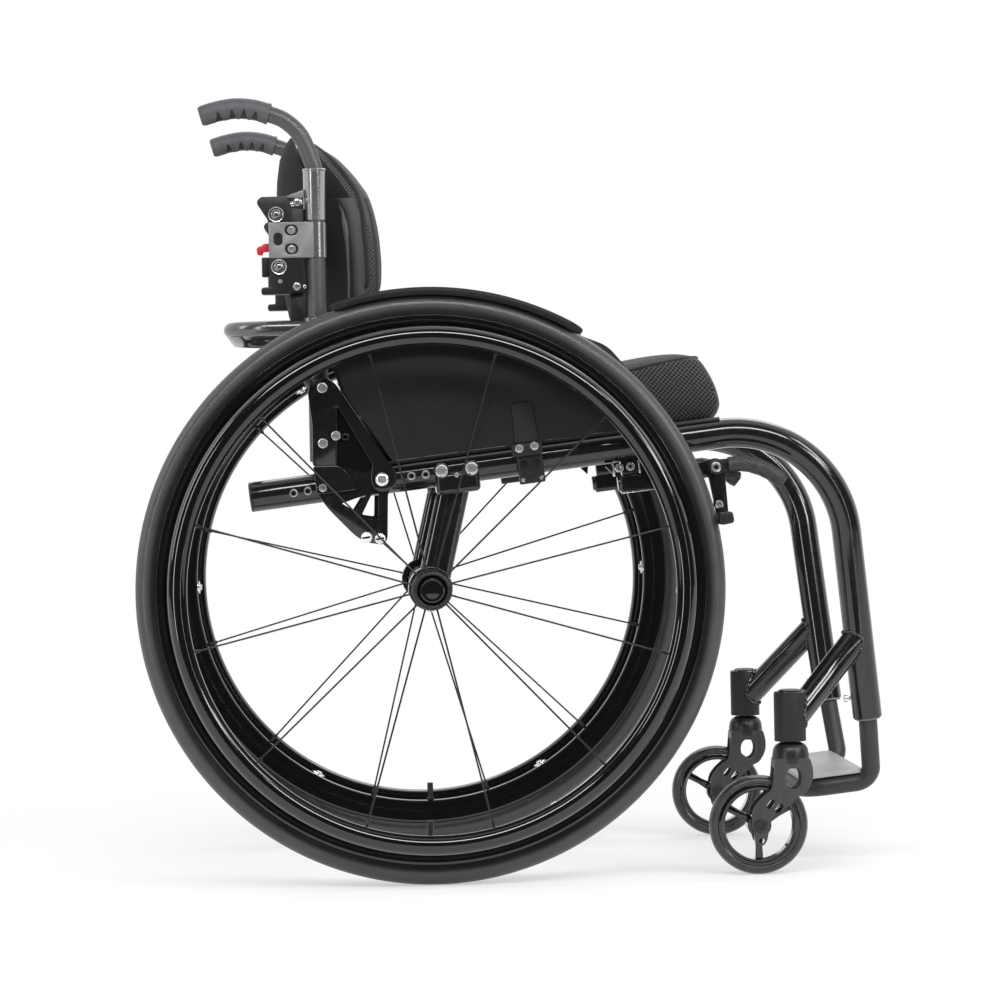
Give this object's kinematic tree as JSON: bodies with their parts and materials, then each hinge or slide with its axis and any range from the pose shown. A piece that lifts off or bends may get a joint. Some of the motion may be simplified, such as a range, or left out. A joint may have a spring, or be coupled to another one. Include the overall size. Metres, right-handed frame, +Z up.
{
  "type": "rigid wheelchair",
  "caption": "Rigid-frame active wheelchair: spoked wheels with handrims, swivel casters, fold-down padded back, side guards, wheel locks and a fixed footplate.",
  "frame": {"origin": "on the floor, under the middle of the chair in its length and width", "axes": "+X the way the user faces, +Y to the user's left, +Z up"},
  "size_m": [0.7568, 0.5774, 0.7937],
  "materials": {
    "black_paint": "gloss",
    "black_anodised": "satin",
    "graphite": "satin",
    "light_grey": "satin",
    "steel": "satin",
    "tyre_rubber": "matte",
    "grip_rubber": "matte",
    "plastic": "satin",
    "red_plastic": "satin",
    "fabric": "matte",
    "pale_plate": "satin"
  },
  "bodies": {
    "frame": {"left_side_frame": "black_paint", "right_side_frame": "black_paint", "left_rear_cap": "plastic", "right_rear_cap": "plastic", "left_caster_cap": "plastic", "right_caster_cap": "plastic", "camber_tube": "black_anodised", "left_axle_stem": "black_paint", "right_axle_stem": "black_paint", "left_axle_pin": "steel", "right_axle_pin": "steel", "left_back_bracket": "black_paint", "right_back_bracket": "black_paint", "seat_sling": "fabric", "left_guard_socket": "plastic", "right_guard_socket": "plastic", "left_brake_mount": "black_paint", "right_brake_mount": "black_paint", "footrest_tube": "black_paint", "footplate": "pale_plate"},
    "backrest": {"left_fold_plate": "black_paint", "right_fold_plate": "black_paint", "left_cane": "graphite", "right_cane": "graphite", "left_push_grip": "grip_rubber", "right_push_grip": "grip_rubber", "rigidizer_bar": "graphite", "back_shell": "plastic", "back_cushion": "fabric", "left_cane_clamp": "light_grey", "right_cane_clamp": "light_grey", "left_hook_bracket": "plastic", "right_hook_bracket": "plastic"},
    "seat_pad": {"seat_cushion": "fabric"},
    "left_wheel": {"left_rear_tyre": "tyre_rubber", "left_rear_rim": "black_anodised", "left_handrim": "black_anodised", "left_rear_hub": "black_anodised"},
    "left_release_button": {"left_axle_button": "plastic"},
    "left_fork": {"left_caster_fork": "black_anodised", "left_caster_axle": "steel"},
    "left_caster": {"left_caster_wheel": "black_anodised", "left_caster_tyre": "tyre_rubber"},
    "left_back_lever": {"left_release_lever": "red_plastic"},
    "left_guard": {"left_side_guard": "plastic"},
    "left_brake_handle": {"left_brake_lever": "grip_rubber"},
    "left_brake_arm": {"left_brake_shoe": "steel"},
    "right_wheel": {"right_rear_tyre": "tyre_rubber", "right_rear_rim": "black_anodised", "right_handrim": "black_anodised", "right_rear_hub": "black_anodised"},
    "right_release_button": {"right_axle_button": "plastic"},
    "right_fork": {"right_caster_fork": "black_anodised", "right_caster_axle": "steel"},
    "right_caster": {"right_caster_wheel": "black_anodised", "right_caster_tyre": "tyre_rubber"},
    "right_back_lever": {"right_release_lever": "red_plastic"},
    "right_guard": {"right_side_guard": "plastic"},
    "right_brake_handle": {"right_brake_lever": "grip_rubber"},
    "right_brake_arm": {"right_brake_shoe": "steel"}
  },
  "joints": [
    {"name": "backrest_fold", "type": "hinge", "parent": "frame", "child": "backrest", "pos_m": [-0.13035, 0, 0.40578], "axis": [0, 1, 0], "range_deg": [0, 45]},
    {"name": "seat_pad_lift", "type": "slide", "parent": "frame", "child": "seat_pad", "axis": [0, 0, 1], "range_m": [0, 0.03]},
    {"name": "left_wheel_spin", "type": "hinge", "parent": "frame", "child": "left_wheel", "pos_m": [-0.08335, 0.235, 0.295], "axis": [0, 1, 0], "continuous": true},
    {"name": "left_axle_release", "type": "slide", "parent": "frame", "child": "left_release_button", "axis": [0, -1, 0], "range_m": [0, 0.004], "stiffness_N_per_m": 800},
    {"name": "left_caster_swivel", "type": "hinge", "parent": "frame", "child": "left_fork", "pos_m": [0.27665, 0.21, 0.112], "axis": [0, 0, 1], "continuous": true},
    {"name": "left_caster_spin", "type": "hinge", "parent": "left_fork", "child": "left_caster", "pos_m": [0.24265, 0.21, 0.05], "axis": [0, 1, 0], "continuous": true},
    {"name": "left_back_release", "type": "hinge", "parent": "backrest", "child": "left_back_lever", "pos_m": [-0.24235, 0.185, 0.642], "axis": [0, 1, 0], "range_deg": [-20, 0], "stiffness_Nm_per_rad": 0.2},
    {"name": "left_guard_lift", "type": "slide", "parent": "frame", "child": "left_guard", "axis": [-0.1149, 0, 0.9934], "range_m": [0, 0.06]},
    {"name": "left_brake_pull", "type": "hinge", "parent": "frame", "child": "left_brake_handle", "pos_m": [0.20565, 0.2085, 0.41165], "axis": [0, 1, 0], "range_deg": [-70, 0]},
    {"name": "left_brake_swing", "type": "hinge", "parent": "frame", "child": "left_brake_arm", "pos_m": [0.20565, 0.2085, 0.41165], "axis": [0, 1, 0], "range_deg": [-21, 0]},
    {"name": "right_wheel_spin", "type": "hinge", "parent": "frame", "child": "right_wheel", "pos_m": [-0.08335, -0.235, 0.295], "axis": [0, 1, 0], "continuous": true},
    {"name": "right_axle_release", "type": "slide", "parent": "frame", "child": "right_release_button", "axis": [0, 1, 0], "range_m": [0, 0.004], "stiffness_N_per_m": 800},
    {"name": "right_caster_swivel", "type": "hinge", "parent": "frame", "child": "right_fork", "pos_m": [0.27665, -0.21, 0.112], "axis": [0, 0, 1], "continuous": true},
    {"name": "right_caster_spin", "type": "hinge", "parent": "right_fork", "child": "right_caster", "pos_m": [0.24265, -0.21, 0.05], "axis": [0, 1, 0], "continuous": true},
    {"name": "right_back_release", "type": "hinge", "parent": "backrest", "child": "right_back_lever", "pos_m": [-0.24235, -0.185, 0.642], "axis": [0, 1, 0], "range_deg": [-20, 0], "stiffness_Nm_per_rad": 0.2},
    {"name": "right_guard_lift", "type": "slide", "parent": "frame", "child": "right_guard", "axis": [-0.1149, 0, 0.9934], "range_m": [0, 0.06]},
    {"name": "right_brake_pull", "type": "hinge", "parent": "frame", "child": "right_brake_handle", "pos_m": [0.20565, -0.2085, 0.41165], "axis": [0, 1, 0], "range_deg": [-70, 0]},
    {"name": "right_brake_swing", "type": "hinge", "parent": "frame", "child": "right_brake_arm", "pos_m": [0.20565, -0.2085, 0.41165], "axis": [0, 1, 0], "range_deg": [-21, 0]}
  ],
  "couplings": [
    {"joint": "left_brake_swing", "follows": "left_brake_pull", "ratio": 0.3},
    {"joint": "right_brake_swing", "follows": "right_brake_pull", "ratio": 0.3}
  ]
}
